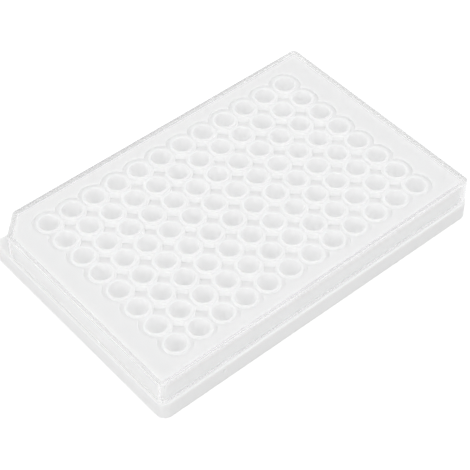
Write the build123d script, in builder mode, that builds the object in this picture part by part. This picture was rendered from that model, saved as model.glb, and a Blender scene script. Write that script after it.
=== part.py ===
"""A ninety-six-well laboratory microplate with its loose lid on.

The plate is one opaque moulding: a skirt with an outer ledge, a narrower body, a deck, and a field
of wells that hangs under the deck as a cored lattice. Each well ends in a raised rim, and the rims
stand in one shallow moat, with a square pit sunk between every four. The lid is one clear moulding
that rests on the deck and hangs down around the body. Lid and body share one cut corner, so that
the lid goes on one way round.

X runs along the long side, Y along the short side and Z up. The origin is the centre of the
footprint, at the foot of the skirt. All lengths are in millimetres.
"""

import os

from build123d import *

# Plate: skirt, body and deck
plate_length = 127.76
plate_width = 85.48
plate_height = 14.35
plate_wall = 1.3
skirt_height = 6.65
skirt_radius = 3.2
skirt_bevel = 0.4
ledge_thickness = 1.3
body_radius = 1.5

# Wells, their rims, and the moat and pits between them
well_columns = 12
well_rows = 8
well_pitch = 9.0
well_radius = 3.35
well_depth = 10.9
well_floor = 1.2
rim_width = 0.75
moat_width = 1.35
moat_depth = 0.8
moat_floor = 0.8
pit_depth = 1.8
round_flats = 12  # flats drawn round each well and rim, so that ninety-six of them stay light

# Lid
lid_end_inset = 0.5
lid_side_inset = 0.85
lid_radius = 1.7
lid_corner_cut = 7.5
lid_wall = 1.2
lid_sheet = 1.1
lid_bevel = 0.3
lid_foot_gap = 0.3
lid_clearance = 0.4
bead_width = 1.3
bead_height = 0.4

# Heights above the foot of the skirt
deck_underside = plate_height - moat_depth - moat_floor
core_ceiling = deck_underside - pit_depth
lattice_foot = plate_height - well_depth - well_floor
lid_foot = skirt_height + lid_foot_gap
lid_sheet_top = plate_height + lid_sheet
lid_top = lid_sheet_top + bead_height

# Plan sizes that follow from the ones above
lid_length = plate_length - 2 * lid_end_inset
lid_width = plate_width - 2 * lid_side_inset
body_inset = lid_wall + lid_clearance
rim_radius = well_radius + rim_width
moat_radius = rim_radius + moat_width
cell_radius = well_pitch / 2
field_length = (well_columns - 1) * well_pitch
field_width = (well_rows - 1) * well_pitch


def cut_corner_plan(inset, radius, height):
    """The lid's outline moved inward, on a plane at a height, with its -X +Y corner cut off."""
    right = lid_length / 2
    back = lid_width / 2
    with BuildSketch(Plane.XY.offset(height)) as plan:
        with BuildLine():
            Polyline(
                (-right, -back),
                (right, -back),
                (right, back),
                (lid_corner_cut - right, back),
                (-right, back - lid_corner_cut),
                close=True,
            )
        make_face()
        if inset > 0:
            offset(amount=-inset, kind=Kind.INTERSECTION)
        fillet(plan.vertices(), radius)
    return plan.sketch


def rounds(radius, height):
    """One many-sided round about each well's axis, on a plane at a height."""
    with BuildSketch(Plane.XY.offset(height)) as plan:
        with GridLocations(well_pitch, well_pitch, well_columns, well_rows):
            RegularPolygon(radius, round_flats)
    return plan.sketch


def moat_plan(height):
    """The moat's outline, scalloped round the outer wells, on a plane at a height."""
    with BuildSketch(Plane.XY.offset(height)) as plan:
        add(rounds(moat_radius, 0))
        Rectangle(field_length, field_width)
    return plan.sketch


def lattice_plan(height):
    """Eight-sided cells, one round each well, that join flat to flat and leave square cores between."""
    with BuildSketch(Plane.XY.offset(height)) as plan:
        with GridLocations(well_pitch, well_pitch, well_columns, well_rows):
            RegularPolygon(cell_radius, 8, major_radius=False, rotation=22.5)
    return plan.sketch


def pit_plan(height):
    """The square cores between the cells, on a plane at a height."""
    with BuildSketch(Plane.XY.offset(height)) as plan:
        Rectangle(field_length, field_width)
        with GridLocations(well_pitch, well_pitch, well_columns, well_rows):
            RegularPolygon(cell_radius, 8, major_radius=False, rotation=22.5, mode=Mode.SUBTRACT)
    return plan.sketch


with BuildPart() as plate:
    # Skirt, closed at the ledge
    with BuildSketch():
        RectangleRounded(plate_length, plate_width, skirt_radius)
    extrude(amount=skirt_height)
    chamfer(plate.faces().sort_by(Axis.Z)[-1].edges(), skirt_bevel)
    # Body, up to the deck
    extrude(cut_corner_plan(body_inset, body_radius, skirt_height), amount=plate_height - skirt_height)
    # Hollow of the skirt, then the hollow of the body above it
    with BuildSketch():
        RectangleRounded(
            plate_length - 2 * plate_wall,
            plate_width - 2 * plate_wall,
            skirt_radius - plate_wall,
        )
    extrude(amount=skirt_height - ledge_thickness, mode=Mode.SUBTRACT)
    extrude(
        cut_corner_plan(body_inset + plate_wall, body_radius, 0),
        amount=deck_underside,
        mode=Mode.SUBTRACT,
    )
    # Lattice that carries the wells, its cores closed at the top
    extrude(lattice_plan(lattice_foot), amount=deck_underside - lattice_foot)
    extrude(pit_plan(core_ceiling), amount=deck_underside - core_ceiling)
    # Moat, the pits in its floor, the rims that stand in it, and the wells
    extrude(moat_plan(plate_height), amount=-moat_depth, mode=Mode.SUBTRACT)
    extrude(pit_plan(plate_height - moat_depth), amount=-pit_depth, mode=Mode.SUBTRACT)
    extrude(rounds(rim_radius, plate_height), amount=-moat_depth)
    extrude(rounds(well_radius, plate_height), amount=-well_depth, mode=Mode.SUBTRACT)

with BuildPart() as lid:
    # Block of the lid, its outer top edge bevelled
    extrude(cut_corner_plan(0, lid_radius, lid_foot), amount=lid_top - lid_foot)
    chamfer(lid.faces().sort_by(Axis.Z)[-1].edges(), lid_bevel)
    # Field inside the stacking bead, and the cavity that goes over the body
    extrude(
        cut_corner_plan(bead_width, lid_radius, lid_sheet_top),
        amount=bead_height,
        mode=Mode.SUBTRACT,
    )
    extrude(
        cut_corner_plan(lid_wall, lid_radius, lid_foot),
        amount=plate_height - lid_foot,
        mode=Mode.SUBTRACT,
    )

plate.part.label = "plate"
lid.part.label = "lid"

os.makedirs("parts", exist_ok=True)
export_step(plate.part, "parts/plate.step")
export_step(lid.part, "parts/lid.step")
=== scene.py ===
"""Looks of a ninety-six-well laboratory plate and its clear lid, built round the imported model.

Lengths below are in millimetres in the row's frame, and go to metres as each mesh is made.
"""

import math

import bmesh
import bpy
from mathutils import Matrix, Vector


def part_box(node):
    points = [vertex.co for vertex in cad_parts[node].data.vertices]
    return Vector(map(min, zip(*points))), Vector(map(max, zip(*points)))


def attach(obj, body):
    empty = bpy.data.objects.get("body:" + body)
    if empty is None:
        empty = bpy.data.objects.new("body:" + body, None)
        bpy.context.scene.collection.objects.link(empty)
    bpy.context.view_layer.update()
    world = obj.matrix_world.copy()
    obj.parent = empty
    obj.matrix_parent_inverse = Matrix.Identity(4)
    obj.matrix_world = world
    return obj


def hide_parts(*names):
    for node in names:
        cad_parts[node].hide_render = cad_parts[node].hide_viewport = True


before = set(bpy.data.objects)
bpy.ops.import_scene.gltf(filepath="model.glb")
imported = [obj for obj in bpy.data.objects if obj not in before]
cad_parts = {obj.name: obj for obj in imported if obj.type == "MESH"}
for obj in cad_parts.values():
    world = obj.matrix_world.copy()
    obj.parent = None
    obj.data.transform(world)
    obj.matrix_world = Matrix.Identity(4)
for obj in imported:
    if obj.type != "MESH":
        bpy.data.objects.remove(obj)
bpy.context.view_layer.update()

MM = 0.001
BODY = "root"

# ---------------------------------------------------------------- sizes
PLATE_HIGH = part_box("plate")[1]
LID_LOW, LID_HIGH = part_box("lid")
HALF_LENGTH = PLATE_HIGH.x / MM
HALF_WIDTH = PLATE_HIGH.y / MM
DECK = PLATE_HIGH.z / MM
LID_HALF_LENGTH = LID_HIGH.x / MM
LID_HALF_WIDTH = LID_HIGH.y / MM
LID_FOOT = LID_LOW.z / MM
LID_TOP = LID_HIGH.z / MM

COLUMNS = 12
ROWS = 8
PITCH = 9.0
HALF_PITCH = PITCH / 2

LEDGE = 6.65
SKIRT_RADIUS = 3.2
PLATE_WALL = 1.3
LEDGE_THICKNESS = 1.3
BODY_INSET = 1.6
BODY_RADIUS = 1.5

WELL_FLOOR = -10.9
MOAT = -0.8
PIT = MOAT - 1.8
DECK_THICKNESS = 1.6
DECK_UNDERSIDE = DECK - DECK_THICKNESS
LATTICE_FOOT = 2.25
OCTAGON = HALF_PITCH * math.tan(math.radians(22.5))

LID_RADIUS = 1.7
LID_CUT = 7.5
LID_WALL = 1.2
SHEET_TOP = 15.45
SHEET_UNDER = DECK + 0.05
BEAD = 1.3

CORNER_STEPS = 8
LEAST_RADIUS = 0.15
WELL_STEP = 7.5
GATE_STEPS = 16

SMOOTH_ANGLE = 32
MERGE_REACH = 2e-4
SAME_LENGTH = 1e-6
SAME_PLANE = 1e-4

# Signs of x and y toward the four corners, in turn
CORNER_SIGNS = ((1, 1), (-1, 1), (-1, -1), (1, -1))

# Each well from the middle of its floor outward: radius, height above the deck
WELL_PROFILE = (
    (2.90, WELL_FLOOR),
    (3.12, WELL_FLOOR + 0.08),
    (3.20, WELL_FLOOR + 0.30),
    (3.30, -0.16),
    (3.335, -0.05),
    (3.42, 0.0),
    (3.98, 0.0),
    (4.065, -0.05),
    (4.10, -0.16),
    (4.14, MOAT + 0.14),
    (4.18, MOAT + 0.04),
    (4.28, MOAT),
)
# The pit's wall: how far inside the flat of the cell it lies, height above the deck
PIT_PROFILE = (
    (0.16, MOAT),
    (0.05, MOAT - 0.03),
    (0.0, MOAT - 0.14),
    (-0.04, PIT + 0.15),
    (-0.09, PIT + 0.03),
    (-0.20, PIT),
)
# The moat's outer bank, seen from the axis of the well it curves round
BANK_PROFILE = (
    (5.33, MOAT),
    (5.41, MOAT + 0.05),
    (5.45, MOAT + 0.16),
    (5.49, -0.14),
    (5.53, -0.04),
    (5.62, 0.0),
)

# The gate mark, where the mould was filled: its place on the long front wall, then radius, depth
GATE_X = -40.6
GATE_Z = 4.6
GATE_PROFILE = ((0.70, 0.0), (0.64, 0.08), (0.56, 1.0))

# The profiles below are swept round an outline: how far inside it, height above the bench.
# The plate's body, from its deck down to the ledge, both ends rounded
BODY_PROFILE = (
    (BODY_INSET + 0.25, DECK),
    (BODY_INSET + 0.08, DECK - 0.06),
    (BODY_INSET, DECK - 0.22),
    (BODY_INSET, LEDGE + 0.22),
    (BODY_INSET - 0.07, LEDGE + 0.06),
    (BODY_INSET - 0.24, LEDGE),
)
# The skirt, from the ledge over its rounded edge, down, round the foot and up inside
SKIRT_PROFILE = (
    (0.42, LEDGE),
    (0.20, LEDGE - 0.06),
    (0.06, LEDGE - 0.20),
    (0.0, LEDGE - 0.42),
    (0.0, 0.22),
    (0.06, 0.06),
    (0.22, 0.0),
    (PLATE_WALL - 0.2, 0.0),
    (PLATE_WALL - 0.05, 0.06),
    (PLATE_WALL, 0.22),
    (PLATE_WALL, LEDGE - LEDGE_THICKNESS),
)
# The hollow inside the body, from the ledge's underside up
HOLLOW_PROFILE = (
    (BODY_INSET + PLATE_WALL, LEDGE - LEDGE_THICKNESS),
    (BODY_INSET + PLATE_WALL, DECK_UNDERSIDE),
)
# The lid, from the sheet's underside down inside, round the foot, up outside, over the bead to the sheet
LID_PROFILE = (
    (LID_WALL, SHEET_UNDER),
    (LID_WALL, LID_FOOT + 0.1),
    (LID_WALL - 0.1, LID_FOOT),
    (0.12, LID_FOOT),
    (0.0, LID_FOOT + 0.12),
    (0.0, LID_TOP - 0.30),
    (0.023, LID_TOP - 0.185),
    (0.09, LID_TOP - 0.09),
    (0.185, LID_TOP - 0.023),
    (0.30, LID_TOP),
    (BEAD - 0.40, LID_TOP),
    (BEAD - 0.20, LID_TOP - 0.05),
    (BEAD - 0.05, LID_TOP - 0.20),
    (BEAD + 0.05, SHEET_TOP + 0.15),
    (BEAD + 0.20, SHEET_TOP + 0.04),
    (BEAD + 0.40, SHEET_TOP),
)

# ---------------------------------------------------------------- camera and light
# Angles in degrees and lengths in millimetres, as in the camera fitted to the photograph
CAMERA_AZIMUTH = -40.576
CAMERA_ELEVATION = 47.586
CAMERA_ROLL = -0.03
CAMERA_PLACE = (-223.22, -261.00, 375.92)
SENSOR_WIDTH = 36.0
LENS_LENGTH = 120.44681

# Each lamp's angle from the camera's side toward the left and its height, in degrees, and its power in watts
LAMPS = {
    "left_front_box": (45, 20, 1.45),
    "left_high_box": (45, 50, 1.56),
    "right_high_box": (-45, 50, 1.41),
    "back_box": (225, 50, 1.37),
}
# Metres
LAMP_REACH = 1.3
LAMP_SIZE = 0.6
FLOOR_REACH = 3.0
FLOOR_DROP = 0.0002

WORLD_LIGHT = 0.695
WORLD_SEEN = 1.0
FLOOR_ALBEDO = 0.85
FLOOR_LIFT = 0.35
FLOOR_MIRRORED = 0.4

# Rays caught in the lid's wall come out black with few bounces
CLEAR_BOUNCES = 512
DIFFUSE_BOUNCES = 48


# ---------------------------------------------------------------- mesh helpers
def rounded_loop(corners, radius, steps):
    """Points round a convex outline whose corners are arcs, the same number for any radius."""
    points = []
    count = len(corners)
    for k in range(count):
        here = Vector(corners[k])
        back = (Vector(corners[k - 1]) - here).normalized()
        ahead = (Vector(corners[(k + 1) % count]) - here).normalized()
        half = back.angle(ahead) / 2
        centre = here + (back + ahead).normalized() * radius / math.sin(half)
        start = here + back * radius / math.tan(half) - centre
        end = here + ahead * radius / math.tan(half) - centre
        turn = start.angle_signed(end)
        for s in range(steps + 1):
            spun = start.copy()
            spun.rotate(Matrix.Rotation(-turn * s / steps, 2))
            points.append(centre + spun)
    return points


def skirt_corners(inset):
    x = HALF_LENGTH - inset
    y = HALF_WIDTH - inset
    return [(-x, -y), (x, -y), (x, y), (-x, y)]


def lid_corners(inset):
    x = LID_HALF_LENGTH - inset
    y = LID_HALF_WIDTH - inset
    cut = LID_CUT - inset * (2 - math.sqrt(2))
    return [(-x, -y), (x, -y), (x, y), (cut - x, y), (-x, y - cut)]


def ring(mesh, points, height):
    """One closed row of vertices at a height."""
    return [mesh.verts.new((p.x, p.y, height)) for p in points]


def loft(mesh, low, high):
    """Quads between two rows of as many vertices."""
    count = len(low)
    for k in range(count):
        n = (k + 1) % count
        mesh.faces.new((low[k], low[n], high[n], high[k]))


def loft_all(mesh, corners, radius, stations):
    """Rows at each (inset, height) station, lofted in turn. A corner's radius shrinks with the inset."""
    rows = []
    for inset, height in stations:
        points = rounded_loop(corners(inset), max(radius - inset, LEAST_RADIUS), CORNER_STEPS)
        rows.append(ring(mesh, points, height))
    for low, high in zip(rows, rows[1:]):
        loft(mesh, low, high)
    return rows


def loop_edges(mesh, row):
    edges = []
    for k in range(len(row)):
        pair = (row[k], row[(k + 1) % len(row)])
        edges.append(mesh.edges.get(pair) or mesh.edges.new(pair))
    return edges


def fill(mesh, edges):
    """Flat triangles over what the edges bound, holes left open."""
    bmesh.ops.triangle_fill(mesh, use_beauty=True, use_dissolve=False, edges=edges)


def finish_mesh(mesh, name):
    """The piece in metres, smooth but for its sharp edges. Large flats keep their own normals."""
    bmesh.ops.recalc_face_normals(mesh, faces=mesh.faces)
    bmesh.ops.scale(mesh, vec=(MM, MM, MM), verts=mesh.verts)
    data = bpy.data.meshes.new(name)
    mesh.to_mesh(data)
    mesh.free()
    data.shade_smooth()
    data.set_sharp_from_angle(angle=math.radians(SMOOTH_ANGLE))
    piece = bpy.data.objects.new(name, data)
    keep_flat = piece.modifiers.new("keep_flat", "WEIGHTED_NORMAL")
    keep_flat.keep_sharp = True
    keep_flat.weight = 100
    bpy.context.scene.collection.objects.link(piece)
    return piece


# ---------------------------------------------------------------- the plate
def profile_height(profile, radius):
    """Height on a profile at a radius, between its points in a straight line."""
    for (r0, z0), (r1, z1) in zip(profile, profile[1:]):
        if radius <= r1:
            return z0 + (z1 - z0) * (radius - r0) / (r1 - r0)
    return profile[-1][1]


def corner_angles(banked):
    """Angles across one quarter of a well: even, or with more where the banks of two neighbours meet."""
    first = [WELL_STEP * k for k in range(4)]
    if banked:
        first += [math.degrees(math.acos(HALF_PITCH / BANK_PROFILE[k][0])) for k in (0, 2, 3, 5)]
    else:
        first += [WELL_STEP * k for k in (4, 5)]
    return [math.radians(a) for a in first + [45.0] + [90.0 - a for a in reversed(first)]]


def rim_stations(x, y, c, s):
    return [(x + r * c, y + r * s, DECK + z) for r, z in WELL_PROFILE]


def bank_stations(x, y, c, s, beyond_x, beyond_y):
    """From the moat's floor up its bank, as far as the neighbour's share."""
    limit = min(
        math.inf if beyond_x else HALF_PITCH / max(abs(c), 1e-9),
        math.inf if beyond_y else HALF_PITCH / max(abs(s), 1e-9),
    )
    stations = []
    for r, _ in BANK_PROFILE:
        reach = min(r, limit)
        height = MOAT if reach < BANK_PROFILE[0][0] else profile_height(BANK_PROFILE, reach)
        stations.append((x + reach * c, y + reach * s, DECK + height))
    return stations


def pit_stations(x, y, c, s, angle):
    """Down the wall of the square pit and over its floor, as far as the neighbour's share."""
    edge = HALF_PITCH / max(abs(c), abs(s))
    across = math.cos(angle % (math.pi / 2) - math.pi / 4)
    at_end = abs(across - math.cos(math.pi / 8)) < SAME_LENGTH
    stations = []
    for inside, z in PIT_PROFILE:
        reach = edge if at_end else (HALF_PITCH - inside) / across
        stations.append((x + reach * c, y + reach * s, DECK + z))
    stations.append((x + edge * c, y + edge * s, DECK + PIT))
    return stations


def well_tile(mesh, x, y, outward_x, outward_y):
    """The top of one well and its share of the moat and pits.

    outward_x and outward_y say which sides have a bank: 1, -1, or 0 for neither.
    """
    centre = mesh.verts.new((x, y, DECK + WELL_FLOOR))
    for quarter, (side_x, side_y) in enumerate(CORNER_SIGNS):
        beyond_x = outward_x == side_x
        beyond_y = outward_y == side_y
        angles = [a + quarter * math.pi / 2 for a in corner_angles(beyond_x or beyond_y)]
        for first, second in zip(angles, angles[1:]):
            middle = math.degrees((first + second) / 2) % 90.0
            over_pit = abs(middle - 45.0) < 22.5 and not (beyond_x or beyond_y)
            rows = []
            for angle in (first, second):
                c, s = math.cos(angle), math.sin(angle)
                stations = rim_stations(x, y, c, s)
                if beyond_x or beyond_y:
                    stations += bank_stations(x, y, c, s, beyond_x, beyond_y)
                elif over_pit:
                    stations += pit_stations(x, y, c, s, angle)
                else:
                    edge = HALF_PITCH / max(abs(c), abs(s))
                    stations.append((x + edge * c, y + edge * s, DECK + MOAT))
                rows.append([mesh.verts.new(place) for place in stations])
            low, high = rows
            mesh.faces.new((centre, low[0], high[0]))
            for m in range(len(low) - 1):
                lengths = [(row[m].co - row[m + 1].co).length for row in rows]
                if max(lengths) > SAME_LENGTH:
                    mesh.faces.new((low[m], low[m + 1], high[m + 1], high[m]))


def well_centres():
    for i in range(COLUMNS):
        for j in range(ROWS):
            yield i, j, (i - (COLUMNS - 1) / 2) * PITCH, ((ROWS - 1) / 2 - j) * PITCH


def open_edges(mesh, height):
    return [
        e for e in mesh.edges
        if len(e.link_faces) == 1 and all(abs(v.co.z - height) < SAME_PLANE for v in e.verts)
    ]


def make_plate_top(mesh):
    for i, j, x, y in well_centres():
        outward_x = (i == COLUMNS - 1) - (i == 0)
        outward_y = (j == 0) - (j == ROWS - 1)
        well_tile(mesh, x, y, outward_x, outward_y)
    bmesh.ops.remove_doubles(mesh, verts=mesh.verts, dist=MERGE_REACH)
    bmesh.ops.dissolve_degenerate(mesh, dist=1e-5, edges=mesh.edges)


def make_lattice(mesh):
    """The cells' outsides: eight-sided, flat to flat, with square cores between, closed under the pits."""
    ceiling = DECK_UNDERSIDE + PIT - MOAT
    for i, j, x, y in well_centres():
        turn = []
        for a, b in CORNER_SIGNS:
            first, second = (HALF_PITCH * a, OCTAGON * b), (OCTAGON * a, HALF_PITCH * b)
            turn.append((first, second) if a * b > 0 else (second, first))
        points = [p for pair in turn for p in pair]
        low = [mesh.verts.new((x + px, y + py, LATTICE_FOOT)) for px, py in points]
        high = [mesh.verts.new((x + px, y + py, DECK_UNDERSIDE)) for px, py in points]
        mesh.faces.new(low)
        for k in range(8):
            n = (k + 1) % 8
            (ax, ay), (bx, by) = points[k], points[n]
            flat_x = abs(ax - bx) < SAME_LENGTH
            flat_y = abs(ay - by) < SAME_LENGTH
            outer_x = flat_x and ((ax > 0 and i == COLUMNS - 1) or (ax < 0 and i == 0))
            outer_y = flat_y and ((ay > 0 and j == 0) or (ay < 0 and j == ROWS - 1))
            side_x = 1 if ax + bx > 0 else -1
            side_y = 1 if ay + by > 0 else -1
            slanted = not (flat_x or flat_y)
            if slanted and 0 <= i + side_x < COLUMNS and 0 <= j - side_y < ROWS:
                top = [mesh.verts.new((x + px, y + py, ceiling)) for px, py in (points[k], points[n])]
                tip = mesh.verts.new((x + side_x * HALF_PITCH, y + side_y * HALF_PITCH, ceiling))
                mesh.faces.new((low[k], low[n], top[1], top[0]))
                mesh.faces.new((top[0], top[1], tip))
            elif slanted or outer_x or outer_y:
                mesh.faces.new((low[k], low[n], high[n], high[k]))
    loose = [v for v in mesh.verts if not v.link_faces]
    bmesh.ops.delete(mesh, geom=loose, context="VERTS")
    bmesh.ops.remove_doubles(mesh, verts=mesh.verts, dist=MERGE_REACH)


def make_gate_mark(mesh):
    """A small round dimple in the widest flat of the skirt's front."""
    front = [f for f in mesh.faces if all(abs(v.co.y + HALF_WIDTH) < SAME_PLANE for v in f.verts)]
    wall = max(front, key=lambda f: f.calc_area())
    edges = list(wall.edges)
    bmesh.ops.delete(mesh, geom=[wall], context="FACES_ONLY")
    turns = [math.tau * k / GATE_STEPS for k in range(GATE_STEPS)]
    rows = [
        [
            mesh.verts.new((GATE_X + r * math.cos(t), depth - HALF_WIDTH, GATE_Z + r * math.sin(t)))
            for t in turns
        ]
        for r, depth in GATE_PROFILE
    ]
    for low, high in zip(rows, rows[1:]):
        loft(mesh, low, high)
    mesh.faces.new(rows[-1])
    fill(mesh, edges + loop_edges(mesh, rows[0]))


def make_plate():
    mesh = bmesh.new()
    make_plate_top(mesh)
    below = bmesh.new()
    make_lattice(below)
    scratch = bpy.data.meshes.new("scratch")
    below.to_mesh(scratch)
    below.free()
    mesh.from_mesh(scratch)
    bpy.data.meshes.remove(scratch)
    deck_edges = open_edges(mesh, DECK)
    under_edges = open_edges(mesh, DECK_UNDERSIDE)
    body_out = loft_all(mesh, lid_corners, BODY_RADIUS + BODY_INSET, BODY_PROFILE)
    skirt_out = loft_all(mesh, skirt_corners, SKIRT_RADIUS, SKIRT_PROFILE)
    body_in = loft_all(mesh, lid_corners, BODY_RADIUS + BODY_INSET + PLATE_WALL, HOLLOW_PROFILE)
    fill(mesh, deck_edges + loop_edges(mesh, body_out[0]))
    fill(mesh, loop_edges(mesh, body_out[-1]) + loop_edges(mesh, skirt_out[0]))
    fill(mesh, loop_edges(mesh, skirt_out[-1]) + loop_edges(mesh, body_in[0]))
    fill(mesh, loop_edges(mesh, body_in[-1]) + under_edges)
    make_gate_mark(mesh)
    return finish_mesh(mesh, "plate_moulding")


# ---------------------------------------------------------------- the lid
def make_lid():
    mesh = bmesh.new()
    rows = loft_all(mesh, lid_corners, LID_RADIUS, LID_PROFILE)
    mesh.faces.new(rows[0])
    mesh.faces.new(rows[-1])
    return finish_mesh(mesh, "lid_moulding")


# ---------------------------------------------------------------- materials
def new_material(name):
    material = bpy.data.materials.new(name)
    material.use_nodes = True
    nodes = material.node_tree.nodes
    nodes.clear()
    return material, nodes, material.node_tree.links


def node(nodes, kind, **values):
    made = nodes.new(kind)
    for key, value in values.items():
        made.inputs[key.replace("_", " ")].default_value = value
    return made


def plate_material():
    """White polystyrene: satin, lit about a millimetre deep, with the faint mottle of a moulding."""
    material, nodes, links = new_material("white_moulded_plastic")
    out = nodes.new("ShaderNodeOutputMaterial")
    shader = nodes.new("ShaderNodeBsdfPrincipled")
    shader.inputs["Specular IOR Level"].default_value = 0.5
    shader.inputs["Subsurface Weight"].default_value = 1.0
    shader.inputs["Subsurface Radius"].default_value = (1.0, 1.0, 1.0)
    shader.inputs["Subsurface Scale"].default_value = 0.0011
    place = nodes.new("ShaderNodeTexCoord")
    mottle = node(nodes, "ShaderNodeTexNoise", Scale=90.0, Detail=3.0)
    tone = nodes.new("ShaderNodeValToRGB")
    tone.color_ramp.elements[0].position = 0.35
    tone.color_ramp.elements[0].color = (0.988, 0.988, 0.988, 1)
    tone.color_ramp.elements[1].position = 0.65
    tone.color_ramp.elements[1].color = (0.994, 0.994, 0.994, 1)
    grain = node(nodes, "ShaderNodeTexNoise", Scale=1800.0, Detail=2.0)
    gloss = nodes.new("ShaderNodeMapRange")
    gloss.inputs["To Min"].default_value = 0.38
    gloss.inputs["To Max"].default_value = 0.50
    bump = node(nodes, "ShaderNodeBump", Strength=0.08, Distance=0.00002)
    links.new(place.outputs["Object"], mottle.inputs["Vector"])
    links.new(place.outputs["Object"], grain.inputs["Vector"])
    links.new(mottle.outputs["Fac"], tone.inputs["Fac"])
    links.new(tone.outputs["Color"], shader.inputs["Base Color"])
    links.new(grain.outputs["Fac"], gloss.inputs["Value"])
    links.new(gloss.outputs["Result"], shader.inputs["Roughness"])
    links.new(grain.outputs["Fac"], bump.inputs["Height"])
    links.new(bump.outputs["Normal"], shader.inputs["Normal"])
    links.new(shader.outputs["BSDF"], out.inputs["Surface"])
    return material


def lid_material():
    """Clear polystyrene, polished, with a trace of haze. Lamps shine through it onto the plate."""
    material, nodes, links = new_material("clear_moulded_plastic")
    out = nodes.new("ShaderNodeOutputMaterial")
    shader = nodes.new("ShaderNodeBsdfPrincipled")
    shader.inputs["Base Color"].default_value = (0.995, 0.996, 0.997, 1)
    shader.inputs["Transmission Weight"].default_value = 1.0
    shader.inputs["IOR"].default_value = 1.49
    place = nodes.new("ShaderNodeTexCoord")
    haze = node(nodes, "ShaderNodeTexNoise", Scale=60.0, Detail=4.0)
    gloss = nodes.new("ShaderNodeMapRange")
    gloss.inputs["To Min"].default_value = 0.0
    gloss.inputs["To Max"].default_value = 0.006
    clear = node(nodes, "ShaderNodeBsdfTransparent", Color=(0.96, 0.96, 0.96, 1))
    path = nodes.new("ShaderNodeLightPath")
    mix = nodes.new("ShaderNodeMixShader")
    links.new(place.outputs["Object"], haze.inputs["Vector"])
    links.new(haze.outputs["Fac"], gloss.inputs["Value"])
    links.new(gloss.outputs["Result"], shader.inputs["Roughness"])
    links.new(path.outputs["Is Shadow Ray"], mix.inputs["Fac"])
    links.new(shader.outputs["BSDF"], mix.inputs[1])
    links.new(clear.outputs["BSDF"], mix.inputs[2])
    links.new(mix.outputs["Shader"], out.inputs["Surface"])
    return material


def seen_share(nodes, links, mirrored):
    """Share of the white backdrop that a ray sees.

    1 straight from the camera, mirrored in gloss or glass, 0 once the ray has met a matt surface.
    """
    path = nodes.new("ShaderNodeLightPath")

    def combined(operation, first, second):
        made = nodes.new("ShaderNodeMath")
        made.operation = operation
        for socket, source in zip(made.inputs, (first, second)):
            if isinstance(source, float):
                socket.default_value = source
            else:
                links.new(source, socket)
        return made.outputs[0]

    indirect = combined("MAXIMUM", path.outputs["Is Glossy Ray"], path.outputs["Is Transmission Ray"])
    reflected = combined("MULTIPLY", indirect, mirrored)
    shown = combined("MAXIMUM", path.outputs["Is Camera Ray"], reflected)
    unscattered = combined("LESS_THAN", path.outputs["Diffuse Depth"], 0.5)
    return combined("MULTIPLY", shown, unscattered)


def white_ground_material(albedo, lift, mirrored):
    """Pale floor that the camera sees as white, and that keeps the object's shadow."""
    material, nodes, links = new_material("pale_floor")
    material.cycles.emission_sampling = "NONE"
    out = nodes.new("ShaderNodeOutputMaterial")
    matte = node(nodes, "ShaderNodeBsdfDiffuse", Color=(albedo, albedo, albedo, 1))
    glow = nodes.new("ShaderNodeEmission")
    amount = nodes.new("ShaderNodeMath")
    amount.operation = "MULTIPLY"
    amount.inputs[1].default_value = lift
    add = nodes.new("ShaderNodeAddShader")
    links.new(seen_share(nodes, links, mirrored), amount.inputs[0])
    links.new(amount.outputs[0], glow.inputs["Strength"])
    links.new(matte.outputs["BSDF"], add.inputs[0])
    links.new(glow.outputs["Emission"], add.inputs[1])
    links.new(add.outputs["Shader"], out.inputs["Surface"])
    return material


# ---------------------------------------------------------------- stage, light and camera
def make_floor():
    mesh = bmesh.new()
    bmesh.ops.create_grid(mesh, x_segments=8, y_segments=8, size=FLOOR_REACH)
    data = bpy.data.meshes.new("floor")
    mesh.to_mesh(data)
    mesh.free()
    floor = bpy.data.objects.new("floor", data)
    floor.location.z = -FLOOR_DROP
    bpy.context.scene.collection.objects.link(floor)
    floor.data.materials.append(white_ground_material(FLOOR_ALBEDO, FLOOR_LIFT, FLOOR_MIRRORED))


def make_world(level, seen_level):
    world = bpy.data.worlds.new("studio")
    bpy.context.scene.world = world
    world.cycles.sampling_method = "NONE"
    world.use_nodes = True
    nodes, links = world.node_tree.nodes, world.node_tree.links
    nodes.clear()
    out = nodes.new("ShaderNodeOutputWorld")
    ambient = node(nodes, "ShaderNodeBackground", Color=(1, 1, 1, 1), Strength=level)
    seen = node(nodes, "ShaderNodeBackground", Color=(1, 1, 1, 1), Strength=seen_level)
    mix = nodes.new("ShaderNodeMixShader")
    links.new(seen_share(nodes, links, 1.0), mix.inputs["Fac"])
    links.new(ambient.outputs["Background"], mix.inputs[1])
    links.new(seen.outputs["Background"], mix.inputs[2])
    links.new(mix.outputs["Shader"], out.inputs["Surface"])


def direction(azimuth, elevation):
    """Unit vector from the plate. Azimuth is 0 at the front and grows toward +X, both in degrees."""
    turn, rise = math.radians(azimuth), math.radians(elevation)
    return Vector((math.sin(turn) * math.cos(rise), -math.cos(turn) * math.cos(rise), math.sin(rise)))


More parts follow.
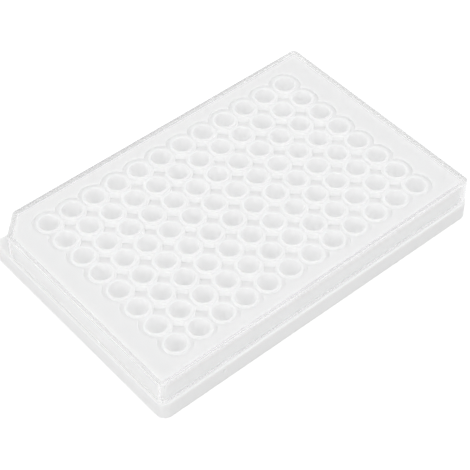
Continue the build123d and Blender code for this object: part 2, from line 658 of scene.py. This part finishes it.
def studio_lamp(name, turn, height, power):
    """Square soft lamp aimed at the plate, unseen in the lid, whose top it would blow out."""
    way = direction(CAMERA_AZIMUTH - turn, height)
    lamp = bpy.data.lights.new(name, "AREA")
    lamp.shape = "SQUARE"
    lamp.size = LAMP_SIZE
    lamp.energy = power
    made = bpy.data.objects.new(name, lamp)
    made.location = way * LAMP_REACH
    made.rotation_euler = way.to_track_quat("Z", "Y").to_euler()
    made.visible_glossy = False
    made.visible_transmission = False  # its light already passes the lid as shadow rays
    bpy.context.scene.collection.objects.link(made)


def make_camera():
    """Camera from the front left, above the plate, with a long lens."""
    back = direction(CAMERA_AZIMUTH, CAMERA_ELEVATION)
    azimuth = math.radians(CAMERA_AZIMUTH)
    right = Vector((math.cos(azimuth), math.sin(azimuth), 0))
    up = back.cross(right)
    lens = bpy.data.cameras.new("camera")
    lens.sensor_width = SENSOR_WIDTH
    lens.lens = LENS_LENGTH
    lens.clip_start = 0.01
    lens.clip_end = 20.0
    camera = bpy.data.objects.new("camera", lens)
    roll = Matrix.Rotation(math.radians(CAMERA_ROLL), 3, "Z")
    turned = Matrix((right, up, back)).transposed() @ roll
    camera.matrix_world = Matrix.Translation(Vector(CAMERA_PLACE) * MM) @ turned.to_4x4()
    bpy.context.scene.collection.objects.link(camera)
    bpy.context.scene.camera = camera


# ---------------------------------------------------------------- build
plate = make_plate()
plate.data.materials.append(plate_material())
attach(plate, BODY)
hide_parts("plate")

lid = make_lid()
lid.data.materials.append(lid_material())
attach(lid, BODY)
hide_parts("lid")

make_floor()
make_world(WORLD_LIGHT, WORLD_SEEN)
for name, (turn, height, power) in LAMPS.items():
    studio_lamp(name, turn, height, power)
make_camera()
scene = bpy.context.scene
scene.view_settings.view_transform = "Standard"
scene.cycles.max_bounces = CLEAR_BOUNCES
scene.cycles.diffuse_bounces = DIFFUSE_BOUNCES
scene.cycles.glossy_bounces = CLEAR_BOUNCES
scene.cycles.transmission_bounces = CLEAR_BOUNCES
scene.cycles.blur_glossy = 0.0
